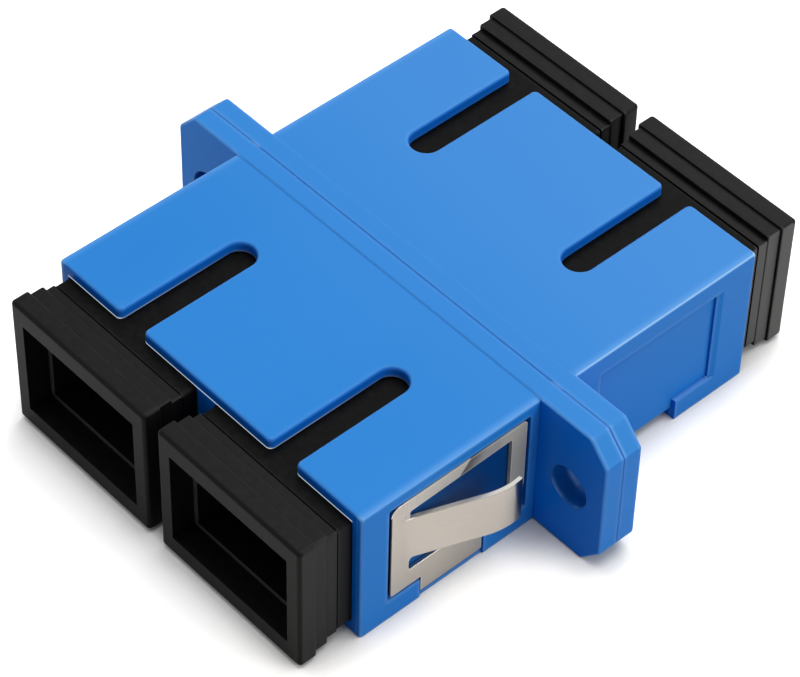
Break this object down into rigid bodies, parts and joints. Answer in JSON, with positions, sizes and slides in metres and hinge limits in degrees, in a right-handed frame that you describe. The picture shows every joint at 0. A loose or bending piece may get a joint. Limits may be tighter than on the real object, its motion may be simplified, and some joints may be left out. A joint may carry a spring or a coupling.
{
  "type": "sc duplex fibre optic adapter",
  "caption": "Flanged two-channel coupler for SC fibre plugs, with a spring mounting clip and push-in dust caps.",
  "frame": {"origin": "on the base plane, under the middle of the overall length, where the ferrules meet", "axes": "+Y along the ports towards the rear half, +Z the side with the key slots, +X to the right seen from the front"},
  "size_m": [0.0358, 0.0376, 0.01],
  "materials": {
    "housing": "moulded, satin",
    "latch": "moulded, natural",
    "sleeve": "ground ceramic",
    "clip": "rolled spring strip",
    "cap": "moulded, matte"
  },
  "bodies": {
    "adapter": {"front_housing": "housing", "rear_housing": "housing", "mounting_clip": "clip", "left_alignment_sleeve": "sleeve", "right_alignment_sleeve": "sleeve", "front_left_latch_body": "latch", "front_right_latch_body": "latch", "rear_left_latch_body": "latch", "rear_right_latch_body": "latch"},
    "front_left_cap": {"front_left_dust_cap": "cap"},
    "front_right_cap": {"front_right_dust_cap": "cap"},
    "rear_left_cap": {"rear_left_dust_cap": "cap"},
    "rear_right_cap": {"rear_right_dust_cap": "cap"}
  },
  "joints": [
    {"name": "front_left_cap_pull", "type": "slide", "parent": "adapter", "child": "front_left_cap", "axis": [0, -1, 0], "range_m": [0, 0.012]},
    {"name": "front_right_cap_pull", "type": "slide", "parent": "adapter", "child": "front_right_cap", "axis": [0, -1, 0], "range_m": [0, 0.012]},
    {"name": "rear_left_cap_pull", "type": "slide", "parent": "adapter", "child": "rear_left_cap", "axis": [0, 1, 0], "range_m": [0, 0.012]},
    {"name": "rear_right_cap_pull", "type": "slide", "parent": "adapter", "child": "rear_right_cap", "axis": [0, 1, 0], "range_m": [0, 0.012]}
  ]
}
